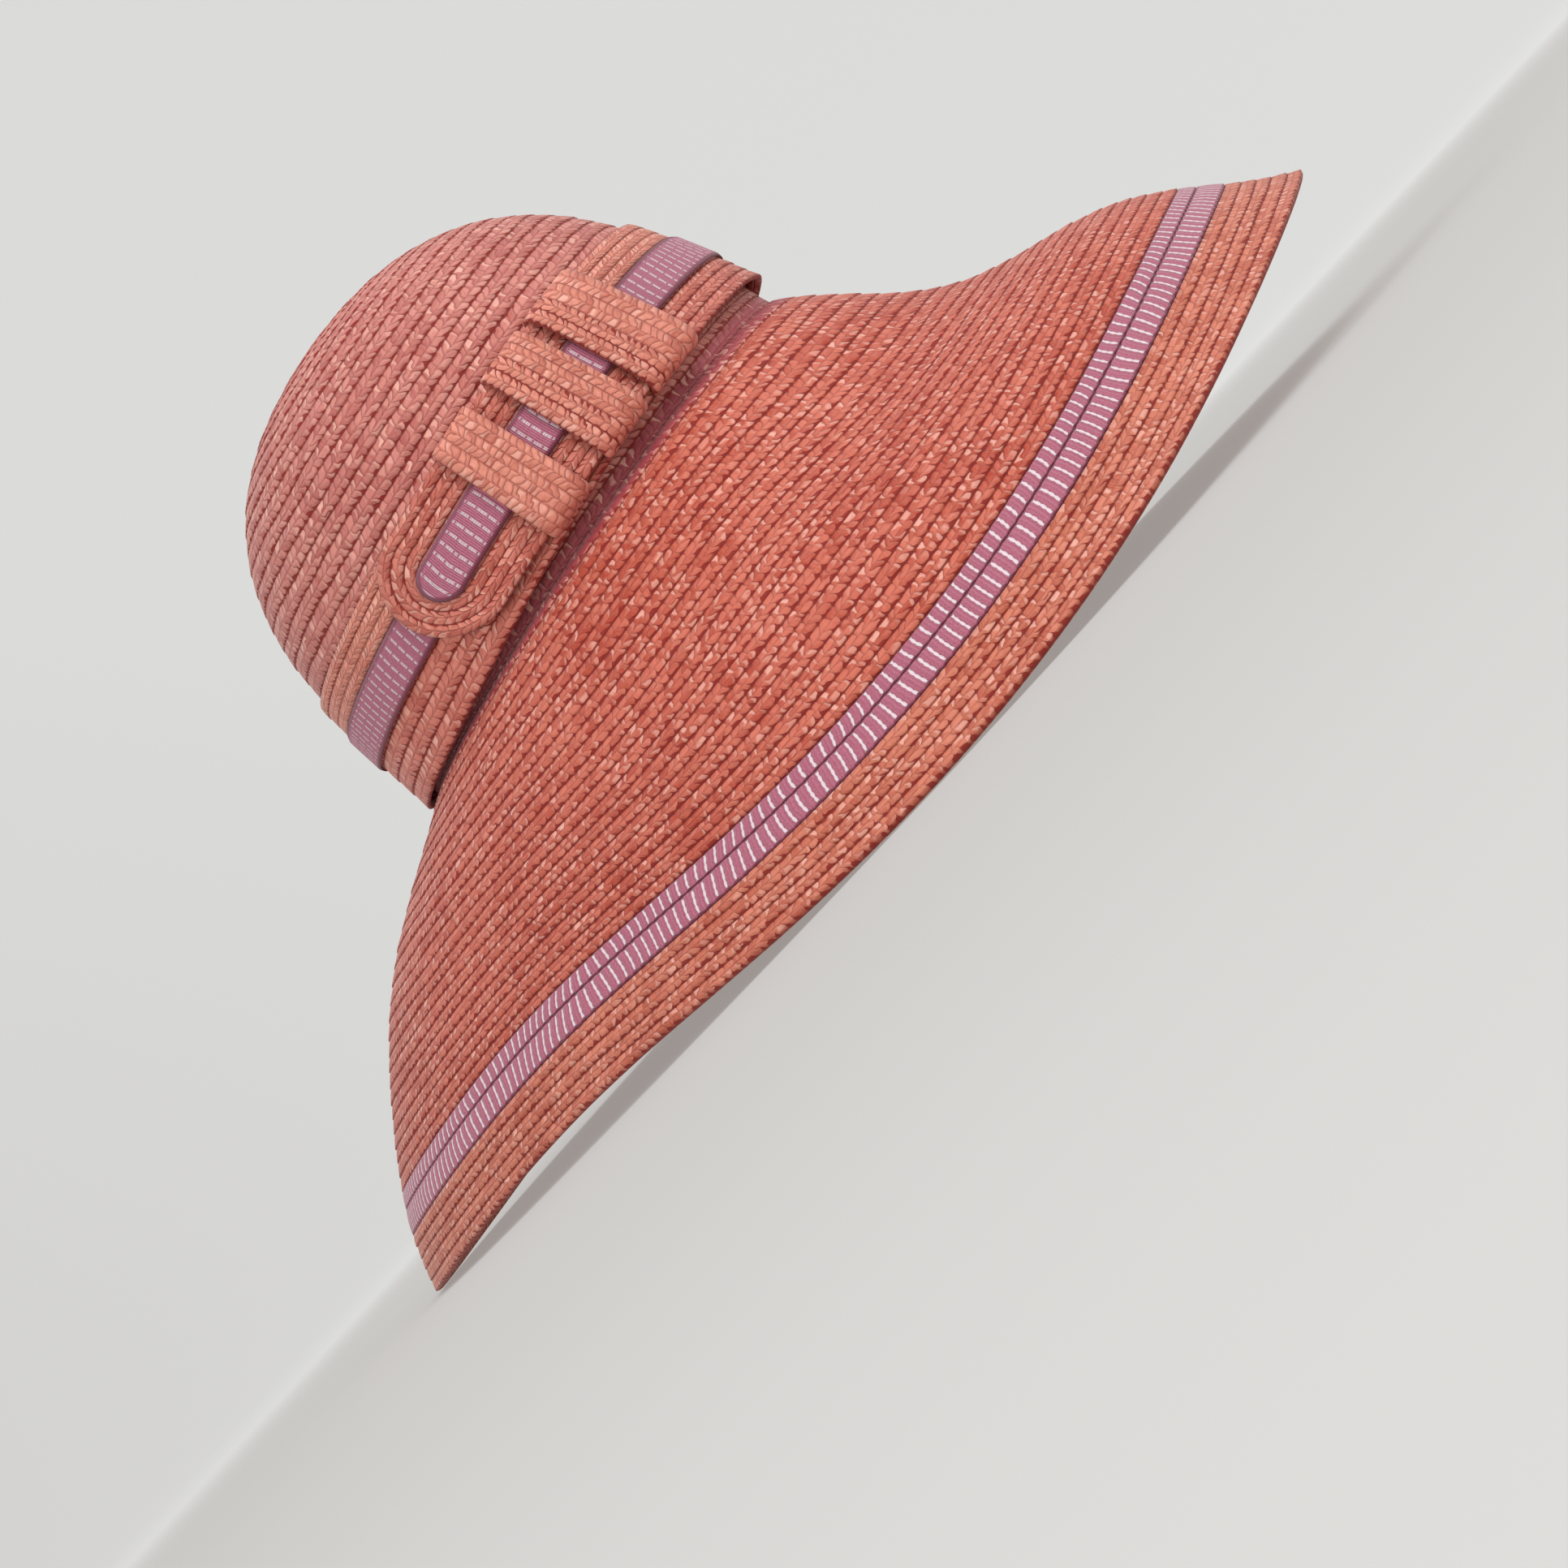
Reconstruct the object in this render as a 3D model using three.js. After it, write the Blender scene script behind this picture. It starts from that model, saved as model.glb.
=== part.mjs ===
import * as THREE from 'three';

// A wide brim straw hat that stands on its brim. Lengths are in millimetres, angles in degrees.
// +X is the front of the hat, +Y its left side and +Z is up. An angle round the hat starts at the
// front and grows towards the left side, so the trim on the right side has negative angles.

// Walls and seams
const strawWall = 2.2;
const ribbonWall = 1.1;
const seamGap = 0.3;

// Brim
const brimLength = 480;
const brimWidth = 416.6;
const brimDrop = 108.4;
const sideDip = 21.2;
const brimEdgeWidth = 24;
const upperRibbonWidth = 6.1;
const lowerRibbonWidth = 9.1;

// Opening where the crown meets the brim
const openingLength = 204.8;
const openingWidth = 177.2;
const openingRise = 6;
const openingSetback = 2;

// Crown
const crownHeight = 121;
const crownSetback = 9.5;
const crownTilt = 4.4;
const crownTipRadius = 11;

// Band round the foot of the crown
const bandTop = 52;
const bandLift = 8;
const bandFlare = 4.1;
const bandRibbonWidth = 16;
const bandRibbonLift = 22;

// Tab and straps on the right side
const tabWidth = 43;
const tabLift = 8.5;
const strapWidth = 18;
const strapWall = 2;
const strapFold = 1.5;

// How fine the skins are
const columns = 60;
const crownRows = 9;
const brimRows = 7;
const brimEdgeRows = 2;
const bandRows = 4;
const bandTrimRows = 2;
const tabRows = 5;
const tabColumns = 20;
const tabEndColumns = 7;
const strapRows = 4;
const strapColumns = 3;

// Form of the brim from the front (angle 0) to the back (180), alike on both sides. Reach is a
// share of the plan ellipse of brimLength and brimWidth, dip a share of sideDip below the tips,
// belly a share of brimDrop, edge a share of brimEdgeWidth. The slopes are degrees below level at
// the crown and at the rim.
const brimSections = [
  { angle: 0, reach: 1, dip: 0, crownSlope: 44, rimSlope: 37, belly: -0.076, edge: 1 },
  { angle: 45, reach: 1.008, dip: 0.78, crownSlope: 35, rimSlope: 37, belly: -0.1, edge: 1 },
  { angle: 90, reach: 1, dip: 1, crownSlope: 33, rimSlope: 46, belly: -0.029, edge: 0.96 },
  { angle: 135, reach: 0.907, dip: 0, crownSlope: 31, rimSlope: 57, belly: 0.006, edge: 0.85 },
  { angle: 180, reach: 1, dip: 0, crownSlope: 22, rimSlope: 67, belly: 0.02, edge: 0.82 },
];

// How far the brim holds its slope at each end, as a share of the straight way across it
const slopeHold = 0.36;

// Powers of the crown's rounded profile: fullness of the plan radius and of the height
const crownRadiusPower = 2.48;
const crownHeightPower = 2.66;

// Height of the band's lower edge over the opening, as a share of bandLift, front to back
const bandSections = [
  { angle: 0, lift: 1 },
  { angle: 45, lift: 0.95 },
  { angle: 90, lift: 0.55 },
  { angle: 135, lift: 0.12 },
  { angle: 180, lift: 0.12 },
];

// Where the tab runs round the crown, and how its round end rises, as a share of tabWidth. The end
// stops short of its point, at tabEndTurn degrees round it.
const tabFrontAngle = -47.5;
const tabBackAngle = -118.5;
const tabEndRise = 0.1;
const tabRibbonBackAngle = -111;
const tabEndTurn = 17;

// Straps across the tab, with their width as a share of strapWidth
const straps = [
  { name: 'strap_back', angle: -84.2, width: 0.92 },
  { name: 'strap_middle', angle: -67.8, width: 1 },
  { name: 'strap_front', angle: -52.2, width: 1.2 },
];

const strawColour = 0xc4614a;
const strapColour = 0xd97c5e;
const ribbonColour = 0xa05f7c;

const radians = THREE.MathUtils.degToRad;

// A small step along a face, for its slope
const nearby = 0.01;

// A smooth curve through one column of a table of sections, even about the front
function around(sections, column, angle) {
  const last = sections.length - 1;
  let value = 0;
  for (let wave = 0; wave <= last; wave++) {
    let term = 0;
    sections.forEach((row, station) => {
      const share = station % last === 0 ? 0.5 : 1;
      term += share * row[column] * Math.cos(wave * station * Math.PI / last);
    });
    const share = wave % last === 0 ? 0.5 : 1;
    value += 2 * share * term * Math.cos(wave * radians(angle)) / last;
  }
  return value;
}

function onEllipse(angle, length, width) {
  const turn = radians(angle);
  return new THREE.Vector3(length / 2 * Math.cos(turn), width / 2 * Math.sin(turn), 0);
}

// The edge of the opening, on the brim's upper face
function openingPoint(angle) {
  const point = onEllipse(angle, openingLength, openingWidth);
  point.x -= openingSetback;
  point.z = brimDrop + openingRise * Math.cos(radians(angle));
  return point;
}

// The brim's outer edge, on its upper face
function rimPoint(angle) {
  const turn = radians(angle);
  const ellipse = Math.hypot(Math.cos(turn) / brimLength, Math.sin(turn) / brimWidth);
  const radius = around(brimSections, 'reach', angle) / ellipse / 2;
  const height = -sideDip * around(brimSections, 'dip', angle);
  return new THREE.Vector3(radius * Math.cos(turn), radius * Math.sin(turn), height);
}

// The straight way across the brim, level with it and down it, in one upright plane
function brimSpan(angle) {
  const start = openingPoint(angle);
  const end = rimPoint(angle);
  const span = end.clone().sub(start);
  const outward = new THREE.Vector3(span.x, span.y, 0).normalize();
  return { start, end, outward, length: span.length(), chord: span.normalize() };
}

// The brim's upper face: share 0 at the crown and 1 at the rim
function brimPoint(angle, share) {
  const { start, end, outward, length, chord } = brimSpan(angle);
  const hold = slopeHold * length;
  const crownSlope = radians(around(brimSections, 'crownSlope', angle));
  const rimSlope = radians(around(brimSections, 'rimSlope', angle));
  const leave = start.clone().addScaledVector(outward, hold * Math.cos(crownSlope));
  leave.z -= hold * Math.sin(crownSlope);
  const arrive = end.clone().addScaledVector(outward, -hold * Math.cos(rimSlope));
  arrive.z += hold * Math.sin(rimSlope);
  const point = new THREE.CubicBezierCurve3(start, leave, arrive, end).getPoint(share);
  const belly = brimDrop * around(brimSections, 'belly', angle);
  const wave = belly * Math.sin(2 * Math.PI * share) * Math.sin(Math.PI * share);
  const level = Math.hypot(chord.x, chord.y);
  const upward = outward.clone().multiplyScalar(-chord.z).setZ(level);
  return point.addScaledVector(upward, wave);
}

// The outward unit normal of a face given as a point for an angle and a second value
function faceNormal(face, angle, across) {
  const along = face(angle + nearby, across).sub(face(angle - nearby, across));
  const over = face(angle, across + nearby).sub(face(angle, across - nearby));
  return along.cross(over).normalize();
}

function brimNormal(angle, share) {
  return faceNormal(brimPoint, angle, share).negate();
}

// The crown's lower edge stands inside the brim's inner edge
function crownFoot(angle) {
  const slope = radians(around(brimSections, 'crownSlope', angle));
  const { start, outward } = brimSpan(angle);
  start.addScaledVector(outward, -strawWall * Math.sin(slope) - seamGap);
  start.z -= strawWall * Math.cos(slope);
  return start;
}

// The crown's outer face by height, as a share from its foot to its top
function crownPoint(angle, rise) {
  const foot = crownFoot(angle);
  const level = THREE.MathUtils.clamp(rise, 0, 1);
  const spread = (1 - level ** crownHeightPower) ** (1 / crownRadiusPower);
  const top = brimDrop + crownHeight + crownTilt * spread * Math.cos(radians(angle));
  const below = Math.min(rise, 0) * (top - foot.z);
  return new THREE.Vector3(
    (foot.x + openingSetback) * spread - openingSetback - crownSetback * level,
    foot.y * spread,
    THREE.MathUtils.lerp(foot.z, top, level) + below,
  );
}

// The rise share at which the crown's radius has shrunk to the tip's
function tipRise() {
  const spread = 2 * crownTipRadius / openingLength;
  return (1 - spread ** crownRadiusPower) ** (1 / crownHeightPower);
}

// A point off the crown's outer face, at a height over the opening
function offCrown(angle, height, offset) {
  const foot = crownFoot(angle).z;
  const over = openingPoint(angle).z + height - foot;
  const rise = over / (brimDrop + crownHeight - foot);
  return crownPoint(angle, rise).addScaledVector(faceNormal(crownPoint, angle, rise), offset);
}

function bandFoot(angle) {
  return bandLift * around(bandSections, 'lift', angle);
}

// How far the band's inner face stands off the crown
function bandOffset(angle, height) {
  const foot = bandFoot(angle);
  const down = THREE.MathUtils.clamp((bandTop - height) / (bandTop - foot), 0, 1);
  return seamGap + bandFlare * down * down;
}

const overBand = strawWall + seamGap;
const overRibbon = overBand + ribbonWall + seamGap;
const overTab = overRibbon + strawWall + seamGap;

function offBand(angle, height, offset) {
  return offCrown(angle, height, bandOffset(angle, height) + offset);
}

// Equal steps from one value to another, with both ends
function steps(from, to, count) {
  return Array.from({ length: count + 1 }, (_, i) => THREE.MathUtils.lerp(from, to, i / count));
}

const fullTurn = steps(0, 360, columns).slice(0, -1);

// One cross-section: its outer points, then its inner points back again
function section(outer, inner) {
  return [...outer, ...[...inner].reverse()];
}

// Joins cross-sections into one closed skin, as a ring or as a strip with flat ends
function sweep(sections, isRing) {
  const size = sections[0].length;
  const index = [];
  const spans = isRing ? sections.length : sections.length - 1;
  for (let i = 0; i < spans; i++) {
    const near = i * size;
    const far = (i + 1) % sections.length * size;
    for (let j = 0; j < size; j++) {
      const next = (j + 1) % size;
      index.push(near + j, far + j, far + next, near + j, far + next, near + next);
    }
  }
  if (!isRing) {
    const last = spans * size;
    for (let j = 0; j < size / 2 - 1; j++) {
      const far = size - 1 - j;
      index.push(j, j + 1, far - 1, j, far - 1, far);
      index.push(last + j, last + far - 1, last + j + 1, last + j, last + far, last + far - 1);
    }
  }
  return toGeometry(sections.flat(), index);
}

// Six times the volume that the triangles enclose, negative if they face inwards
function signedVolume(points, index) {
  let volume = 0;
  for (let i = 0; i < index.length; i += 3) {
    const [a, b, c] = index.slice(i, i + 3).map((corner) => points[corner]);
    volume += a.dot(b.clone().cross(c));
  }
  return volume;
}

function toGeometry(points, index) {
  const facing = signedVolume(points, index) < 0 ? index.reverse() : index;
  const geometry = new THREE.BufferGeometry().setFromPoints(points);
  geometry.setIndex(facing);
  geometry.computeVertexNormals();
  return geometry;
}

// A ring of brim between two shares of the way across it
function brimRing(startShare, endShare, rows, wall) {
  const rings = fullTurn.map((angle) => {
    const shares = steps(startShare(angle), endShare(angle), rows);
    const outer = shares.map((share) => brimPoint(angle, share));
    const inner = shares.map((share, i) => (
      outer[i].clone().addScaledVector(brimNormal(angle, share), -wall)
    ));
    return section(outer, inner);
  });
  return sweep(rings, true);
}

// The share of the way across the brim at a distance inside the edge rows
function insideEdge(distance) {
  return (angle) => {
    const edge = brimEdgeWidth * around(brimSections, 'edge', angle);
    return 1 - (edge + distance) / brimSpan(angle).length;
  };
}

const bothRibbons = upperRibbonWidth + lowerRibbonWidth;

function brim() {
  return brimRing(() => 0, insideEdge(bothRibbons + seamGap), brimRows, strawWall);
}

function brimRibbonUpper() {
  const end = insideEdge(lowerRibbonWidth + seamGap);
  return brimRing(insideEdge(bothRibbons), end, 1, ribbonWall);
}

function brimRibbonLower() {
  return brimRing(insideEdge(lowerRibbonWidth), insideEdge(seamGap), 1, ribbonWall);
}

function brimEdge() {
  return brimRing(insideEdge(0), () => 1, brimEdgeRows, strawWall);
}

// Fills a ring of points with triangles, largest first
function fillRing(first, count, index) {
  const fillArc = (from, to) => {
    if (to - from < 2) return;
    const middle = Math.round((from + to) / 2);
    index.push(first + from, first + middle, first + to % count);
    fillArc(from, middle);
    fillArc(middle, to);
  };
  const third = Math.round(count / 3);
  const twoThirds = Math.round(2 * count / 3);
  index.push(first, first + third, first + twoThirds);
  fillArc(0, third);
  fillArc(third, twoThirds);
  fillArc(twoThirds, count);
}

// The flat tip of the crown, in a plane that tilts as the top does
function tipRing(depth) {
  const rise = tipRise();
  const back = crownPoint(180, rise);
  const front = crownPoint(0, rise);
  const centre = back.clone().lerp(front, 0.5);
  const lengthwise = front.clone().sub(back).multiplyScalar(0.5);
  const sideways = new THREE.Vector3(0, crownPoint(90, rise).y, 0);
  const upward = lengthwise.clone().cross(sideways).normalize();
  centre.addScaledVector(upward, -depth);
  return fullTurn.map((angle) => centre.clone()
    .addScaledVector(lengthwise, Math.cos(radians(angle)))
    .addScaledVector(sideways, Math.sin(radians(angle))));
}

// The crown is a dome with one wall, open at its foot and closed by the flat tip
function crown() {
  const topTurn = Math.asin(tipRise() ** (crownHeightPower / 2));
  const turns = steps(0, topTurn, crownRows).slice(0, -1);
  const rises = turns.map((turn) => Math.sin(turn) ** (2 / crownHeightPower));
  const outer = rises.map((rise) => fullTurn.map((angle) => crownPoint(angle, rise)));
  const inner = rises.map((rise, row) => fullTurn.map((angle, i) => {
    const normal = faceNormal(crownPoint, angle, rise);
    return outer[row][i].clone().addScaledVector(normal, -strawWall);
  }));
  const rings = [...outer, tipRing(0), tipRing(strawWall), ...inner.reverse()];
  const index = [];
  rings.forEach((ring, row) => {
    if (row === crownRows) return;
    const near = row * columns;
    const far = (row + 1) % rings.length * columns;
    for (let i = 0; i < columns; i++) {
      const next = (i + 1) % columns;
      index.push(near + i, near + next, far + next, near + i, far + next, far + i);
    }
  });
  const outerTip = [];
  fillRing(crownRows * columns, columns, outerTip);
  const innerTip = [];
  fillRing((crownRows + 1) * columns, columns, innerTip);
  return toGeometry(rings.flat(), [...index, ...outerTip, ...innerTip.reverse()]);
}

// A ring of the band between two heights over the opening
function bandRing(lowHeight, highHeight, rows, offset, wall) {
  const rings = fullTurn.map((angle) => {
    const heights = steps(lowHeight(angle), highHeight, rows);
    const outer = heights.map((height) => offBand(angle, height, offset + wall));
    const inner = heights.map((height) => offBand(angle, height, offset));
    return section(outer, inner);
  });
  return sweep(rings, true);
}

const ribbonTop = bandRibbonLift + bandRibbonWidth;

function hatBand() {
  return bandRing(bandFoot, ribbonTop, bandRows, 0, strawWall);
}

function bandTopBraid() {
  return bandRing(() => ribbonTop + seamGap, bandTop, bandTrimRows, 0, strawWall);
}

function bandRibbon() {
  return bandRing(() => bandRibbonLift, ribbonTop, bandTrimRows, overBand, ribbonWall);
}

// The tab's lower and upper edge at an angle, drawn in round its back end
function tabEdges(angle, width, backAngle) {
  const reach = radians(angle - backAngle) * openingWidth / 2;
  const round = Math.min(reach / (width / 2), 1);
  const half = width / 2 * Math.sqrt(1 - (1 - round) ** 2);
  const middle = tabLift + tabWidth / 2 + tabEndRise * tabWidth * (1 - round);
  return [middle - half, middle + half];
}

// Angles along the tab, closer together round its end
function tabAngles(width, backAngle) {
  const reach = THREE.MathUtils.radToDeg(width / openingWidth);
  const endTurns = steps(radians(tabEndTurn), Math.PI / 2, tabEndColumns).slice(0, -1);
  const end = endTurns.map((turn) => backAngle + reach * (1 - Math.cos(turn)));
  return [...end, ...steps(backAngle + reach, tabFrontAngle, tabColumns - tabEndColumns)];
}

function sideTab() {
  const rings = tabAngles(tabWidth, tabBackAngle).map((angle) => {
    const heights = steps(...tabEdges(angle, tabWidth, tabBackAngle), tabRows);
    const outer = heights.map((height) => offBand(angle, height, overRibbon + strawWall));
    const inner = heights.map((height) => offBand(angle, height, overRibbon));
    return section(outer, inner);
  });
  return sweep(rings, false);
}

function tabRibbon() {
  const rings = tabAngles(bandRibbonWidth, tabRibbonBackAngle).map((angle) => {
    const heights = tabEdges(angle, bandRibbonWidth, tabRibbonBackAngle);
    const outer = heights.map((height) => offBand(angle, height, overTab + ribbonWall));
    const inner = heights.map((height) => offBand(angle, height, overTab));
    return section(outer, inner);
  });
  return sweep(rings, false);
}

// A strap lies over the tab and folds down past both of its edges
function strap({ angle, width }) {
  const half = THREE.MathUtils.radToDeg(width * strapWidth / openingWidth);
  const over = overTab + ribbonWall + seamGap;
  const rings = steps(angle - half, angle + half, strapColumns).map((turn) => {
    const [low, high] = tabEdges(turn, tabWidth, tabBackAngle);
    const path = (grow, top) => [
      offBand(turn, low - grow, overBand),
      offBand(turn, low - grow, top - strapFold),
      ...steps(low - grow + strapFold, high + grow - strapFold, strapRows)
        .map((height) => offBand(turn, height, top)),
      offBand(turn, high + grow, top - strapFold),
      offBand(turn, high + grow, overBand),
    ];
    return section(path(seamGap + strapWall, over + strapWall), path(seamGap, over));
  });
  return sweep(rings, false);
}

function straw(colour) {
  return new THREE.MeshStandardMaterial({ color: colour, roughness: 0.6, metalness: 0 });
}

function ribbon() {
  return new THREE.MeshStandardMaterial({ color: ribbonColour, roughness: 0.5, metalness: 0 });
}

function named(name, geometry, material) {
  const mesh = new THREE.Mesh(geometry, material);
  mesh.name = name;
  return mesh;
}

const hat = new THREE.Group();
hat.add(named('crown', crown(), straw(strawColour)));
hat.add(named('brim', brim(), straw(strawColour)));
hat.add(named('brim_ribbon_upper', brimRibbonUpper(), ribbon()));
hat.add(named('brim_ribbon_lower', brimRibbonLower(), ribbon()));
hat.add(named('brim_edge', brimEdge(), straw(strawColour)));
hat.add(named('hat_band', hatBand(), straw(strawColour)));
hat.add(named('band_top_braid', bandTopBraid(), straw(strapColour)));
hat.add(named('band_ribbon', bandRibbon(), ribbon()));
hat.add(named('side_tab', sideTab(), straw(strawColour)));
hat.add(named('tab_ribbon', tabRibbon(), ribbon()));
for (const row of straps) {
  hat.add(named(row.name, strap(row), straw(strapColour)));
}

// The lowest corner of the rim at an angle
function rimFoot(angle) {
  return rimPoint(angle).addScaledVector(brimNormal(angle, 1), -strawWall);
}

// The hat leans back until the brim stands on its back tip and on both sides
function restLean() {
  const back = rimFoot(180);
  const slopes = fullTurn.map(rimFoot)
    .filter((point) => point.x > back.x / 2)
    .map((point) => (point.z - back.z) / (point.x - back.x));
  return Math.atan(Math.min(...slopes));
}

hat.rotation.y = restLean();

// The origin is below the middle of the hat, on the surface that it stands on
const stand = new THREE.Group();
stand.add(hat);
const box = new THREE.Box3().setFromObject(stand, true);
hat.position.set(-(box.min.x + box.max.x) / 2, -(box.min.y + box.max.y) / 2, -box.min.z);

export default stand;
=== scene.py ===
import math

import bmesh
import bpy
import numpy as np
from mathutils import Matrix, Vector


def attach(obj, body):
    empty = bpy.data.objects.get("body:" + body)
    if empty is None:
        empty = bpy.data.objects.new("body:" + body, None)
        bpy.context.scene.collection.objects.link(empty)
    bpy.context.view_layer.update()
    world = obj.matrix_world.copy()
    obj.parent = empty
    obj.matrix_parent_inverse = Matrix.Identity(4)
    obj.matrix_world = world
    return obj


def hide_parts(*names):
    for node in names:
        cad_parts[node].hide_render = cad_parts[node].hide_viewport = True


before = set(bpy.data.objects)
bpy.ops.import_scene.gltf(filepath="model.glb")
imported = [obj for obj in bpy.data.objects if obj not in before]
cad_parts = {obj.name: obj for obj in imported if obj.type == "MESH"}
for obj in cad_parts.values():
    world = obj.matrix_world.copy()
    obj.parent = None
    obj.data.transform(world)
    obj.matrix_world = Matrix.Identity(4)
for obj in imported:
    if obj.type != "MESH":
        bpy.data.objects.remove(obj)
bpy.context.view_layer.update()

bl_info = {
    "name": "Wide Brim Straw Hat",
    "version": (1, 0, 0),
    "blender": (4, 5, 0),
    "location": "3D View > Sidebar > Straw Hat",
    "description": "Sewn straw braid, woven ribbon and straps of a wide brim hat",
    "category": "Object",
}

ROWS_MAP = "rows"
UP = np.array((0, 0, 1))

# Form of the brim and the band in five stations from front to back, alike on both sides.
# Reach is a share of the plan ellipse, dip of the side dip, belly of the brim drop, edge of the
# edge width and lift of the band lift. The slopes are degrees below level.
STATIONS = {
    "reach": (1, 1.008, 1, 0.907, 1),
    "dip": (0, 0.78, 1, 0, 0),
    "crown_slope": (44, 35, 33, 31, 22),
    "rim_slope": (37, 37, 46, 57, 67),
    "belly": (-0.076, -0.1, -0.029, 0.006, 0.02),
    "edge": (1, 1, 0.96, 0.85, 0.82),
    "lift": (1, 0.95, 0.55, 0.12, 0.12),
}
# How far the brim keeps each of its slopes, as a share of its straight way
SLOPE_HOLD = 0.36
# Powers of the crown's outline, as in a squared ellipse
RADIUS_POWER = 2.48
HEIGHT_POWER = 2.66
# Rise of the tab's round end, as a share of its width
TAB_END_RISE = 0.1
# How much wider than even the brim's rows are beside the crown
WIDE_FIRST_ROWS = 0.06

# Where along a row of braid its cross-section has a point, and how far the face and the back
# stand out there, as shares of the row relief. A row's outer edge lies over the next row.
ROW_STEPS = (0, 0.05, 0.5, 0.95)
ROW_LIFTS = (0.1, 0.5, 0.85, 1)
ROW_DROPS = (0.2, 0.8, 0.45, 0.2)

# Rows on the back of a piece are numbered on from here
BACK_ROWS = 100

# Faces round each ring and along the tab and the straps
BAND_COLUMNS = 300
BRIM_COLUMNS = 420
TAB_STRAIGHT_COLUMNS = 40
TAB_ROUND_COLUMNS = 36
STRAP_COLUMNS = 90

# Distance from one line of stitches to the next along each ribbon, in metres
BRIM_STITCH = 0.0041
BAND_STITCH = 0.0038
TAB_STITCH = 0.0033

# The brim's ribbons: how far the cloth puffs up in metres, and the stitches in one line
BRIM_RIBBONS = {"brim_ribbon_upper": (0.0004, 3), "brim_ribbon_lower": (0.0005, 4)}
# Where a brim ribbon's cross-section has a point, as shares of its width, and how full it is
PUFF_PLACES = (0, 0.03, 0.12, 0.3, 0.5, 0.7, 0.88, 0.97, 1)
PUFF_POWER = 0.3

# The band's top plait has its one deep seam this far below its upper edge, in metres
TOP_PLAIT_SEAM = 0.0042

# Straps across the tab: angle, width as a share of the strap width, the seams between their
# rows of plait as shares of the way across, and how many of the rows end in a deep seam
STRAPS = {
    "strap_back": (-84.2, 0.92, (0, 0.36, 0.68, 1), 0),
    "strap_middle": (-67.8, 1, (0, 0.26, 0.5, 0.76, 1), 2),
    "strap_front": (-52.2, 1.2, (0, 0.2, 0.41, 0.7, 1), 2),
}
# Powers that square off a strap where it turns over the tab's edges
STRAP_SIDE_POWER = 0.3
STRAP_TOP_POWER = 0.5

# Soft lights: place and width in metres, and the setting that holds the power
LIGHTS = {
    "key light": ((1.5, -1.2, 2.1), 1.8, "key_light"),
    "fill light": ((-1.6, -2.0, 1.2), 2.0, "fill_light"),
}
LIGHTS_AIM = (0, 0, 0.1)
CAMERA_AIM = (-0.0315, 0.0148, 0.0322)
# Squares of the distances from the hat between which the floor's glow grows
GLOW_REACH = (0.15, 2)

# What a shader group puts out
FINISH = {"Color": "Color", "Roughness": "Float", "Height": "Float"}


def srgb(red, green, blue):
    """A linear colour from screen values of 0 to 255"""
    def linear(value):
        part = value / 255
        return part / 12.92 if part <= 0.04045 else ((part + 0.055) / 1.055) ** 2.4
    return tuple(linear(value) for value in (red, green, blue))


def setting(prop, **kind):
    """A function that makes one kind of setting from its name, value and description"""
    def make(name, default, description):
        return prop(name=name, description=description, default=default, **kind)
    return make


length = setting(bpy.props.FloatProperty, min=0, unit="LENGTH")
power = setting(bpy.props.FloatProperty, min=0, unit="POWER")
share = setting(bpy.props.FloatProperty, min=0, subtype="FACTOR")
angle = setting(bpy.props.FloatProperty, subtype="ANGLE")
focal = setting(bpy.props.FloatProperty, min=1, unit="CAMERA")
count = setting(bpy.props.IntProperty, min=1)
colour = setting(bpy.props.FloatVectorProperty, size=3, min=0, max=1, subtype="COLOR")


def turn_of(name, degrees, description):
    return angle(name, math.radians(degrees), description)


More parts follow.
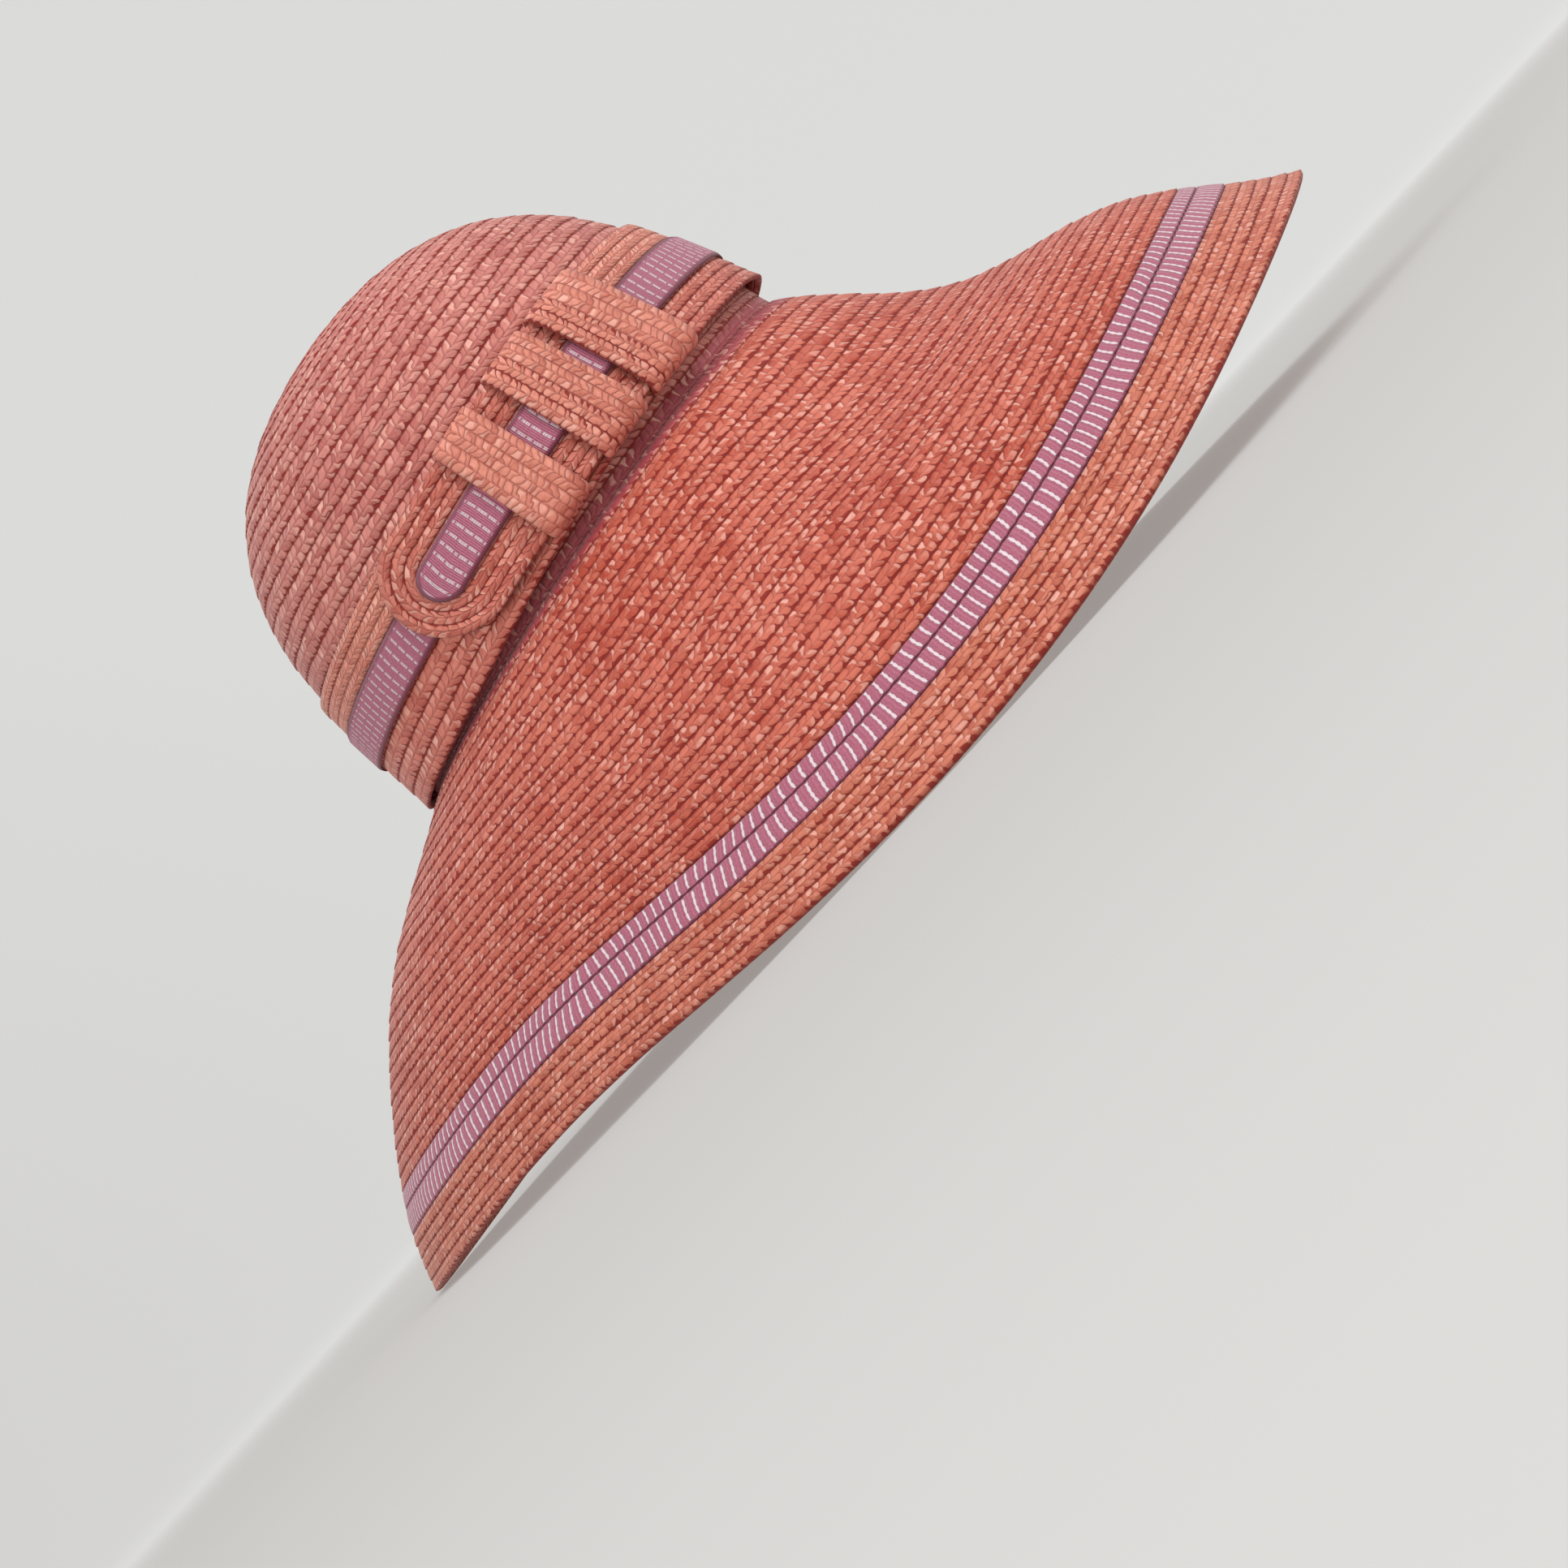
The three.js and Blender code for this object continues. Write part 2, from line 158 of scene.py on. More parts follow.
class StrawHatSizes(bpy.types.PropertyGroup):
    straw_wall: length("Straw wall", 0.0022, "Thickness of the sewn braid")
    ribbon_wall: length("Ribbon wall", 0.0011, "Thickness of the ribbons")
    seam_gap: length("Seam gap", 0.0003, "Room between two pieces that are sewn together")
    brim_length: length("Brim length", 0.48, "Front of the brim to its back")
    brim_width: length("Brim width", 0.4166, "Side to side of the brim")
    brim_drop: length("Brim drop", 0.1084, "Height of the opening over the brim's tips")
    side_dip: length("Side dip", 0.0212, "How far the sides hang below the tips")
    edge_width: length("Edge width", 0.024, "Straw outside the brim ribbons")
    upper_ribbon: length("Upper ribbon", 0.0061, "Width of the inner brim ribbon")
    lower_ribbon: length("Lower ribbon", 0.0091, "Width of the outer brim ribbon")
    opening_length: length("Opening length", 0.2048, "Length of the head opening")
    opening_width: length("Opening width", 0.1772, "Width of the head opening")
    opening_rise: length("Opening rise", 0.006, "Rise of the opening at the front")
    opening_setback: length("Opening setback", 0.002, "Opening behind the brim's middle")
    crown_height: length("Crown height", 0.121, "Height of the crown over the opening")
    crown_setback: length("Crown setback", 0.0095, "Top of the crown behind its foot")
    crown_tilt: length("Crown tilt", 0.0044, "Rise of the crown's shoulder at the front")
    band_top: length("Band top", 0.052, "Height of the band over the opening")
    band_lift: length("Band lift", 0.008, "Height of the band's lower edge at the front")
    band_flare: length("Band flare", 0.0041, "How far the band's lower edge stands off")
    band_ribbon: length("Band ribbon", 0.016, "Width of the ribbon round the band")
    ribbon_lift: length("Ribbon lift", 0.022, "Height of the band ribbon")
    tab_width: length("Tab width", 0.043, "Width of the side tab")
    tab_lift: length("Tab lift", 0.0085, "Height of the side tab's lower edge")
    tab_front: turn_of("Tab front", -47.5, "Where the tab ends at the front")
    tab_back: turn_of("Tab back", -118.5, "Where the tab's round end is")
    tab_ribbon_back: turn_of("Tab ribbon back", -111, "Where the tab's ribbon ends")
    strap_width: length("Strap width", 0.018, "Width of the middle strap")
    strap_wall: length("Strap wall", 0.002, "Thickness of a strap")


class StrawHatBraid(bpy.types.PropertyGroup):
    crown_rows: count("Crown rows", 27, "Rows of braid from the tip to the foot")
    brim_rows: count("Brim rows", 23, "Rows of braid from the crown to the ribbons")
    edge_rows: count("Edge rows", 5, "Rows of braid outside the ribbons")
    band_rows: count("Band rows", 6, "Rows of braid in the band, half under its ribbon")
    tab_rows: count("Tab rows", 5, "Rows of braid from the tab's middle to its edge")
    relief: length("Row relief", 0.0006, "Step from one row of braid to the next")
    plait_relief: length("Plait relief", 0.0004, "Step beside a seam in the flat plait")
    crown_cell: length("Crown plait", 0.0036, "Length of a strand's turn in the crown")
    brim_cell: length("Brim plait", 0.0037, "Length of a strand's turn in the brim")
    strap_cell: length("Strap plait", 0.0026, "Length of a strand's turn in the straps")
    gather: share("Gather", 0.06, "How far the brim's rows draw up at the side")
    gather_at: turn_of("Gather place", -73, "Where the brim's rows draw up")
    gather_spread: turn_of("Gather spread", 15, "How wide a stretch of rows draws up")
    wobble: share("Wobble", 0.05, "How unevenly the rows are sewn, as a share of a row")


class StrawHatColours(bpy.types.PropertyGroup):
    crown: colour("Crown straw", srgb(202, 114, 104), "Pinkish straw of the crown")
    brim: colour("Brim straw", srgb(198, 69, 28), "Coral straw of the brim")
    edge: colour("Edge straw", srgb(204, 98, 62), "Straw of the brim's edge")
    band: colour("Band straw", srgb(208, 104, 84), "Straw of the band and the tab")
    strap: colour("Strap straw", srgb(230, 136, 112), "Light straw of the straps")
    # Pale straw: the colour of real pale strands and frayed flecks, and also of the painted
    # glints on the braid.
    fleck_and_glint: colour("Pale straw", srgb(240, 178, 160), "Glossy pale strands")
    # Seams: painted shade in the grooves between rows and strands and on the backs of the
    # pieces; also the dark end of the straw's own random tone.
    seam: colour("Seams", srgb(136, 22, 12), "Deep red between the rows")
    # Foot: painted shade, the reddened shade with red reflected light on the rows between the
    # crown and the brim.
    foot: colour("Foot", srgb(158, 58, 76), "Mauve red rows between crown and brim")
    # The band's and tab's mauve is the brim ribbons' mauve made lighter, as painted light
    # against the shade that these ribbons sit in.
    mauve: colour("Ribbon", srgb(184, 92, 120), "Mauve of the band's and tab's ribbons")
    brim_mauve: colour("Brim ribbon", srgb(178, 84, 110), "Pinker mauve on the brim")
    dash: colour("Dashes", srgb(226, 208, 214), "White stitches in the ribbons")
    selvedge: colour("Selvedge", srgb(112, 38, 62), "Dark edges of the ribbons")


class StrawHatStage(bpy.types.PropertyGroup):
    camera_distance: length("Camera distance", 1.114372, "Camera to hat, along the floor")
    camera_height: length("Camera height", 0.03, "Camera over the floor")
    camera_turn: turn_of("Camera turn", 4.3, "How far the camera stands to the front")
    camera_roll: turn_of("Camera roll", -47.2, "How far the camera is tipped over")
    lens: focal("Lens", 74.5, "Focal length on a 36 mm sensor")
    room_light: share("Room light", 0.8, "Brightness of the white room")
    key_light: power("Key light", 38, "Soft light from the front")
    fill_light: power("Fill light", 16, "Soft light from behind the camera")
    paper: colour("Paper", (0.26, 0.26, 0.256), "Colour of the floor and the backdrop")
    floor_glow: colour("Floor glow", (0.304, 0.292, 0.278), "Light of the floor itself")
    wall_glow: colour("Wall glow", (0.49, 0.49, 0.478), "Light of the backdrop itself")
    glow_forward: share("Glow forward", 0.22, "Growth of the glow to the front, per metre")
    glow_upward: share("Glow upward", 0.2, "Growth of the glow upward, per metre")
    floor_radius: length("Floor radius", 2.4, "Flat part of the floor")
    backdrop_radius: length("Backdrop radius", 1.8, "Curve between floor and backdrop")


def metres():
    return bpy.context.scene.straw_hat_sizes


def braid():
    return bpy.context.scene.straw_hat_braid


def colours():
    return bpy.context.scene.straw_hat_colours


def around(station, turn):
    """A smooth curve through one row of STATIONS, even about the front"""
    values = STATIONS[station]
    last = len(values) - 1
    total = 0 * turn
    for wave in range(last + 1):
        term = sum(
            (0.5 if place % last == 0 else 1) * value * math.cos(wave * place * math.pi / last)
            for place, value in enumerate(values)
        )
        total = total + (1 if wave % last == 0 else 2) * term * np.cos(wave * turn) / last
    return total


def opening_point(turn):
    """The brim's inner edge, where the crown starts"""
    s = metres()
    return np.stack((
        s.opening_length / 2 * np.cos(turn) - s.opening_setback,
        s.opening_width / 2 * np.sin(turn),
        s.brim_drop + s.opening_rise * np.cos(turn),
    ), -1)


def rim_point(turn):
    """The brim's outer edge"""
    s = metres()
    ellipse = np.hypot(np.cos(turn) / s.brim_length, np.sin(turn) / s.brim_width)
    radius = around("reach", turn) / ellipse / 2
    height = -s.side_dip * around("dip", turn)
    return np.stack((radius * np.cos(turn), radius * np.sin(turn), height), -1)


def brim_point(turn, across):
    """The brim's upper face, from the crown at 0 to the rim at 1"""
    start, end = opening_point(turn), rim_point(turn)
    span = end - start
    level = np.linalg.norm(span[..., :2], axis=-1)[..., None]
    straight = np.linalg.norm(span, axis=-1)[..., None]
    outward = span * (1, 1, 0) / level

    def ray(station):
        slope = np.radians(around(station, turn))[..., None]
        way = outward * np.cos(slope) - UP * np.sin(slope)
        return way * SLOPE_HOLD * straight

    leave, arrive = start + ray("crown_slope"), end - ray("rim_slope")
    t = across[..., None]
    point = (1 - t) ** 3 * start + t ** 3 * end
    point = point + 3 * t * (1 - t) * ((1 - t) * leave + t * arrive)
    wave = np.sin(2 * np.pi * t) * np.sin(np.pi * t)
    belly = metres().brim_drop * around("belly", turn)[..., None] * wave
    upward = -outward * span[..., 2:] / straight + UP * level / straight
    return point + upward * belly


def slope_normal(face, turn, across, nearby=1e-4):
    """The unit normal of a face given as a point for a turn and a second value"""
    along = face(turn + nearby, across) - face(turn - nearby, across)
    over = face(turn, across + nearby) - face(turn, across - nearby)
    normal = np.cross(along, over)
    return normal / np.linalg.norm(normal, axis=-1)[..., None]


def crown_foot(turn):
    """The crown's lower edge, inside the brim's first row"""
    s = metres()
    start = opening_point(turn)
    slope = np.radians(around("crown_slope", turn))[..., None]
    span = (rim_point(turn) - start) * (1, 1, 0)
    outward = span / np.linalg.norm(span, axis=-1)[..., None]
    down = UP * s.straw_wall * np.cos(slope)
    return start - outward * (s.straw_wall * np.sin(slope) + s.seam_gap) - down


def crown_point(turn, rise):
    """The crown's outer face by height, from its foot at 0 to its top at 1"""
    s = metres()
    foot = crown_foot(turn)
    level = np.clip(rise, 0, 1)
    spread = (1 - level ** HEIGHT_POWER) ** (1 / RADIUS_POWER)
    top = s.brim_drop + s.crown_height + s.crown_tilt * spread * np.cos(turn)
    below = np.minimum(rise, 0) * (top - foot[..., 2])
    return np.stack((
        (foot[..., 0] + s.opening_setback) * spread - s.opening_setback
        - s.crown_setback * level,
        foot[..., 1] * spread,
        foot[..., 2] * (1 - level) + top * level + below,
    ), -1)


def dome_point(turn, lean):
    """The crown's outer face by the angle of its curve, a quarter turn from foot to top"""
    return crown_point(turn, np.sin(np.clip(lean, 0, math.pi / 2)) ** (2 / HEIGHT_POWER))


def off_crown(turn, height, offset):
    """A point on the crown's outer face or off it, by its height over the opening"""
    s = metres()
    foot = crown_foot(turn)[..., 2]
    over = opening_point(turn)[..., 2] + height - foot
    rise = over / (s.brim_drop + s.crown_height - foot)
    normal = slope_normal(crown_point, turn, rise)
    return crown_point(turn, rise) + normal * np.asarray(offset)[..., None]


def band_foot(turn):
    """Height of the band's lower edge over the opening"""
    return metres().band_lift * around("lift", turn)


def off_band(turn, height, offset):
    """A point on the band's inner face or off it, by its height over the opening"""
    s = metres()
    down = np.clip((s.band_top - height) / (s.band_top - band_foot(turn)), 0, 1)
    return off_crown(turn, height, s.seam_gap + s.band_flare * down ** 2 + offset)


def way_along(path, axis=0):
    """The way walked along a path up to each of its points"""
    steps = np.linalg.norm(np.diff(path, axis=axis), axis=-1)
    start = 0 * steps.take([0], axis)
    return np.concatenate((start, np.cumsum(steps, axis=axis)), axis)


def way_round(start, end, height, offset):
    """Length of the way round the band between two turns"""
    turns = np.linspace(start, end, 361)
    return float(way_along(off_band(turns, np.full(len(turns), height), offset))[-1])


def even_across(face, turn, start, end, parts):
    """Values across a face that part its arc from start to end in the given shares"""
    steps = np.linspace(0, 1, 201)
    across = start[:, None] + (end - start)[:, None] * steps
    arc = way_along(face(each_place(turn, steps), across), 1)
    return np.stack([
        np.interp(parts[i] * arc[i, -1], arc[i], across[i]) for i in range(len(turn))
    ])


def rest_pose():
    """The lean and the shift that stand the hat on its brim"""
    turn = np.radians(np.arange(0, 360, 6))
    rim = np.ones_like(turn)
    foot = rim_point(turn) + slope_normal(brim_point, turn, rim) * metres().straw_wall
    back = foot[len(turn) // 2]
    front = foot[foot[:, 0] > back[0] / 2]
    lean = math.atan(min((front[:, 2] - back[2]) / (front[:, 0] - back[0])))
    turned = leaned(foot, lean)
    return lean, -turned[:, 2].min()


def leaned(points, lean):
    """The points turned forward about the hat's left"""
    x, y, z = points[..., 0], points[..., 1], points[..., 2]
    return np.stack((
        x * math.cos(lean) + z * math.sin(lean), y,
        z * math.cos(lean) - x * math.sin(lean),
    ), -1)


def rested(points):
    """The points of the upright hat as they are once it stands on its brim"""
    lean, lift = rest_pose()
    return leaned(points, lean) + UP * lift


def row_places(seams):
    """Values over the rows between the seams, and which step of its row each one is"""
    places = [row + step for row in range(seams) for step in ROW_STEPS]
    return np.array([*places, seams]), np.array([*range(len(ROW_STEPS))] * seams + [0])


def raise_off(base, lift, ring):
    """The points of a grid, each raised off its surface on the side away from the floor"""
    if ring:
        inner = base[:-1]
        along = np.roll(inner, -1, 0) - np.roll(inner, 1, 0)
        along = np.concatenate((along, along[:1]))
    else:
        along = np.gradient(base, axis=0)
    normal = np.cross(along, np.gradient(base, axis=1))
    size = np.linalg.norm(normal, axis=-1, keepdims=True)
    for edge, beside in ((0, 1), (-1, -2)):
        pinched = size[:, edge, 0] < 1e-4 * size[:, beside, 0]
        if pinched.all():
            normal[:, edge] = normal[:-1, beside].mean(0)
        else:
            normal[pinched, edge] = normal[pinched, beside]
    normal = normal / np.linalg.norm(normal, axis=-1, keepdims=True)
    if np.sum(normal * (base - np.array((0, 0, -0.2)))) < 0:
        normal = -normal
    return base + normal * lift[..., None]


def cells_along(points, places, cell, whole_number):
    """How many plait cells lie along the grid up to each column, for each strip of faces"""
    row = np.floor((places[:-1] + places[1:]) / 2 + 1e-9)
    middle = [int(np.argmin(abs(places - value - 0.5))) for value in row]
    cells = way_along(points)[:, middle] / cell
    if whole_number:
        whole = np.maximum(np.round(cells[-1]), 3)
        cells = cells * whole / np.maximum(cells[-1], 1e-9)
    return cells


def add_grid(bm, points, places, cells):
    """Lays a grid of faces over the points, with its place in the rows of braid"""
    columns, knots = points.shape[0] - 1, points.shape[1] - 1
    grid = bmesh.new()
    grid_map = grid.loops.layers.uv.new(ROWS_MAP)
    bmesh.ops.create_grid(grid, x_segments=columns, y_segments=knots, size=0.5)
    spot = {}
    for vert in grid.verts:
        spot[vert] = round((vert.co.x + 0.5) * columns), round((vert.co.y + 0.5) * knots)
    for face in grid.faces:
        strip = min(spot[vert][1] for vert in face.verts)
        for loop in face.loops:
            column, knot = spot[loop.vert]
            step = strip if cells.shape[1] == knots else knot
            loop[grid_map].uv = cells[column, step], places[knot]
    for vert, (column, knot) in spot.items():
        vert.co = points[column, knot]
    part = bpy.data.meshes.new("grid")
    grid.to_mesh(part)
    grid.free()
    bm.from_mesh(part)
    bpy.data.meshes.remove(part)


def object_from(bm, name, near):
    """A smooth object of the faces, joined where their points lie that near together"""
    bmesh.ops.remove_doubles(bm, verts=bm.verts, dist=near)
    bmesh.ops.recalc_face_normals(bm, faces=bm.faces)
    for face in bm.faces:
        face.smooth = True
    mesh = bpy.data.meshes.new(name)
    bm.to_mesh(mesh)
    bm.free()
    made = bpy.data.objects.new(name, mesh)
    bpy.context.collection.objects.link(made)
    return made


def shell(name, base, places, face_lift, back_lift, cells, ring, closed_at=None):
    """A closed piece with a face and a back that meet along its edges"""
    middle = (face_lift + back_lift) / 2
    inside = np.ones(base.shape[:2])
    for edge in {0, -1} - {closed_at}:
        inside[:, edge] = 0
    if not ring:
        inside[0] = inside[-1] = 0
    if np.isscalar(cells):
        cells = cells_along(base, places, cells, ring or closed_at == -1)
    bm = bmesh.new()
    bm.loops.layers.uv.new(ROWS_MAP)
    for lift, first_row in ((face_lift, 0), (back_lift, BACK_ROWS)):
        points = raise_off(base, middle + (lift - middle) * inside, ring)
        if closed_at == 0:
            points[:, 0] = points[:, 0].mean(0)
        elif closed_at == -1:
            points[:, -1] = (points[:, -1] + points[::-1, -1]) / 2
        add_grid(bm, rested(points), places + first_row, cells)
    return object_from(bm, name, 1e-6)


def dress(piece, node, material):
    """Gives a piece its finish and its place on the hat, instead of the plain node"""
    piece.data.materials.append(material)
    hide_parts(node)
    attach(piece, "root")


def full_turn(columns):
    return np.linspace(-math.pi, math.pi, columns + 1)


def each_column(values, columns):
    """One row of values, repeated for every column of a grid"""
    return np.repeat(np.asarray(values)[None], len(columns), 0)


def each_place(values, places):
    """One column of values, repeated for every place across a grid"""
    return np.repeat(values[:, None], len(places), 1)


def uneven(turn, place, rows):
    """How far each point of a row strays from its even place, in rows, with still ends"""
    waves = (
        np.sin(5 * turn + 2.1 * place) + 0.6 * np.sin(13 * turn - 1.3 * place + 1)
        + 0.35 * np.sin(31 * turn + 4.7 * place + 2)
    )
    return braid().wobble * waves * np.sin(math.pi * place / rows) ** 0.5


def sewn_lifts(turn, places, steps, relief, wall):
    """How far the face and the back of sewn rows stand off the surface"""
    row = np.floor(places)
    life = 1 + 0.22 * np.sin(7 * turn[:, None] + 3.7 * row) * np.cos(3 * turn[:, None] - row)
    face = relief * np.array(ROW_LIFTS)[steps] * life - relief / 3
    back = -wall * 0.8 - relief * 0.6 * np.array(ROW_DROPS)[steps] * life
    return face, back


def evened(path, columns):
    """The same paths with their points an even way apart"""
    arc = way_along(path)
    parts = np.linspace(0, 1, columns + 1)
    return np.stack([
        np.stack([
            np.interp(parts * arc[-1, j], arc[:, j], path[:, j, axis]) for axis in range(3)
        ], -1) for j in range(path.shape[1])
    ], 1)


def layers():
    """How far the band's, the tab's and the straps' inner faces stand off, over one another"""
    s = metres()
    over_band = s.straw_wall + s.seam_gap
    over_ribbon = over_band + s.ribbon_wall + s.seam_gap
    over_tab = over_ribbon + s.straw_wall + s.seam_gap
    return over_band, over_ribbon, over_tab


# Shader nodes


def sum_of(operation, wire_last=False):
    """A sum of a wire and the other values that it takes"""
    def work(self, *others):
        values = (*others, self) if wire_last else (self, *others)
        node = self.tree.nodes.new("ShaderNodeMath")
        node.operation = operation
        for socket, value in zip(node.inputs, values):
            plug(self.tree, socket, value)
        return Wire(self.tree, node.outputs[0])
    return work


class Wire:
    """A value in a node tree that can take part in sums"""

    __add__ = sum_of("ADD")
    __radd__ = sum_of("ADD", wire_last=True)
    __sub__ = sum_of("SUBTRACT")
    __rsub__ = sum_of("SUBTRACT", wire_last=True)
    __mul__ = sum_of("MULTIPLY")
    __rmul__ = sum_of("MULTIPLY", wire_last=True)
    __truediv__ = sum_of("DIVIDE")
    __abs__ = sum_of("ABSOLUTE")
    floor = sum_of("FLOOR")
    sine = sum_of("SINE")
    below = sum_of("LESS_THAN")
    most = sum_of("MAXIMUM")

    def __init__(self, tree, socket):
        self.tree, self.socket = tree, socket

    def climb(self, low, high):
        """Goes smoothly from 0 at low to 1 at high"""
        node = self.tree.nodes.new("ShaderNodeMapRange")
        node.interpolation_type = "SMOOTHSTEP"
        for socket, value in zip(node.inputs, (self, low, high, 0, 1)):
            plug(self.tree, socket, value)
        return Wire(self.tree, node.outputs[0])

    def wave(self):
        """Swings from 0 to 1 and back once over each whole number"""
        return (self * (2 * math.pi)).sine() * 0.5 + 0.5

    def parts(self):
        node = self.tree.nodes.new("ShaderNodeSeparateXYZ")
        plug(self.tree, node.inputs[0], self)
        return [Wire(self.tree, socket) for socket in node.outputs]


def plug(tree, socket, value):
    """Links a wire to a socket, or sets the socket's value"""
    if isinstance(value, Wire):
        tree.links.new(value.socket, socket)
    else:
        socket.default_value = value


def together(tree, *values):
    """One vector of two or three values"""
    node = tree.nodes.new("ShaderNodeCombineXYZ")
    for socket, value in zip(node.inputs, values):
        plug(tree, socket, value)
    return Wire(tree, node.outputs[0])


def noise(tree, vector, scale=1.0, detail=0.0, dimensions="2D"):
    node = tree.nodes.new("ShaderNodeTexNoise")
    node.noise_dimensions = dimensions
    plug(tree, node.inputs["Vector"], vector)
    node.inputs["Scale"].default_value = scale
    node.inputs["Detail"].default_value = detail
    return Wire(tree, node.outputs[0])


def luck(tree, vector):
    """Three chance values for each place"""
    node = tree.nodes.new("ShaderNodeTexWhiteNoise")
    plug(tree, node.inputs["Vector"], vector)
    return Wire(tree, node.outputs["Color"]).parts()


def blend(tree, factor, first, second):
    """The first colour at 0 and the second at 1"""
    node = tree.nodes.new("ShaderNodeMix")
    node.data_type = "RGBA"
    plug(tree, node.inputs[0], factor)
    plug(tree, node.inputs[6], first)
    plug(tree, node.inputs[7], second)
    return Wire(tree, node.outputs[2])


def new_group(name, inputs):
    """A shader group with its inputs as wires, and the node that its outputs go to"""
    tree = bpy.data.node_groups.new(name, "ShaderNodeTree")
    for side, sockets in (("INPUT", inputs), ("OUTPUT", FINISH)):
        for label, kind in sockets.items():
            tree.interface.new_socket(label, in_out=side, socket_type=f"NodeSocket{kind}")
    given = tree.nodes.new("NodeGroupInput")
    wires = {label: Wire(tree, given.outputs[label]) for label in inputs}
    return tree, wires, tree.nodes.new("NodeGroupOutput")


def face_and_back(tree, across):
    """The row coordinate, and 1 on the back of a piece"""
    back = across.climb(BACK_ROWS - 0.6, BACK_ROWS - 0.5)
    return across - back * BACK_ROWS, back


def braid_group():
    """Rows of sewn straw braid, whose strands slant to and from the middle of each row"""
    name = "Sewn Braid"
    if name in bpy.data.node_groups:
        return bpy.data.node_groups[name]
    tree, given, out = new_group(name, {
        "Rows": "Vector", "Place": "Vector", "Straw": "Color", "Fleck": "Color",
        "Seam": "Color", "Middle": "Float", "Slant": "Float", "Seam Width": "Float",
        "Deep Seams": "Float", "Gaps": "Float", "Flecks": "Float", "Fray": "Float",
        "Foot Row": "Float", "Foot": "Color",
    })
    along, across, _ = given["Rows"].parts()
    across, back = face_and_back(tree, across)
    row = across.floor()
    t = across - row
    row_luck = luck(tree, together(tree, row, 3.7, back))
    sway = noise(tree, together(tree, along * 0.31, row * 9.1, 0))
    bent = noise(tree, together(tree, along * 1.3, across * 1.7, 0)) - 0.5
    along = along + row_luck[0] * 7 + sway * 0.9 + bent * 0.9
    middle = given["Middle"]
    upper = t.below(middle)
    to_middle = upper * (t / middle) + (1 - upper) * ((1 - t) / (1 - middle))
    run = along + given["Slant"] * to_middle + (1 - upper) * 0.5
    cell = run.floor()
    f = run - cell
    chance = luck(tree, together(tree, cell, row, upper))
    side = abs(f * 2 - 1)

    ends = (1 - to_middle).climb(0, 0.22) * to_middle.climb(0, 0.14)
    dip = 1 - f.climb(0, 0.2) * (1 - f).climb(0, 0.16)
    pillow = (0.3 + 0.7 * f) * (1 - given["Gaps"] * dip) * (0.7 + 0.3 * chance[1])
    height = pillow * (0.3 + 0.7 * ends)

    # Painted shade in the grooves: a dark line along each row's edge, the shadow under the
    # previous row's edge, and dark gaps, notches and row edges between the strands. Deep seams
    # get a wider, darker line.
    deep = row.below(given["Deep Seams"] - 0.5)
    tooth = side * side * side
    wide = given["Seam Width"] * (0.3 + 0.7 * deep) * (0.5 + chance[2])
    hem = 1 - wide * (0.25 + 2.6 * tooth)
    seam = t.climb(hem - 0.015, hem + 0.03)
    tuck_shadow = 1 - t.climb(wide * tooth * 1.3, wide * tooth * 1.3 + 0.03)
    seam = seam.most(tuck_shadow) * (0.35 + 0.65 * deep)
    edge_notch = (1 - to_middle).climb(0.7, 1) * side.climb(0.6, 0.95)
    gap = side.climb(0.78, 0.98) * (0.5 + 0.5 * chance[0])
    notch = to_middle.climb(0.8, 1) * side.climb(0.35, 0.9)
    rim = (1 - to_middle).climb(0.86, 1).most(to_middle.climb(0.88, 1)) * 0.45
    dark = (gap * 0.8).most(notch).most(edge_notch.most(rim)) * given["Gaps"]
    dark = seam.most(dark)

    strand = noise(tree, together(tree, f * 6 + cell * 3.1, to_middle * 1.3 + row, 0))
    # Painted highlight: a pale glint near the raised end of some cells, standing in for the
    # gloss on the strands; an input of the group sets how many cells get one.
    painted_glint = (f - to_middle * 0.5).climb(0.2, 0.36) * (1 - f).climb(0.03, 0.14)
    painted_glint = painted_glint * to_middle.climb(0.05, 0.15) * (0.65 + 0.35 * upper)
    pale = painted_glint * chance[1].climb(1.02 - given["Flecks"] * 4, 1.1)
    # Painted shade: the row at the foot row is tinted toward the foot colour, for the reddened
    # shade between crown and brim.
    foot = 1 - abs(across - given["Foot Row"]).climb(0.8, 1)
    torn = noise(tree, together(tree, along * 2.1, across * 6, 0), detail=1)
    torn = torn.climb(0.5, 0.62) * across.climb(0.8, 0.92) * (1.2 - across).climb(0, 0.12)
    pale = pale.most(given["Fray"] * torn) * (1 - 0.6 * back)
    patch = noise(tree, given["Place"], 21, 1, "3D")
    # The tone varies at random by cell, strand and patch, and also grows lighter toward each
    # cell's raised end, which is painted shading.
    tone = 0.05 + 0.45 * chance[0] + 0.35 * strand + 0.2 * f + 0.45 * (patch - 0.5)
    shade = blend(tree, 0.5, given["Straw"], given["Seam"])
    light = blend(tree, 0.24, given["Straw"], given["Fleck"])
    straw = blend(tree, tone.climb(0.05, 0.85), shade, light)
    straw = blend(tree, foot * 0.75, straw, given["Foot"])
    # Painted highlights: the glints, together with the real frayed flecks, are blended toward
    # the pale straw colour.
    straw = blend(tree, pale * 0.85, straw, given["Fleck"])
    # Painted shade: besides the grooves, the seam colour also goes 30 % over the whole back of
    # each piece, so the side turned from the light is darker.
    straw = blend(tree, dark.most(back * 0.3) * 0.92, straw, given["Seam"])
    plug(tree, out.inputs["Color"], straw)
    plug(tree, out.inputs["Roughness"], 0.44 + 0.32 * dark - 0.12 * pale + 0.14 * strand)
    plug(tree, out.inputs["Height"], height * (1 - 0.6 * seam) + 0.1 * strand)
    return tree


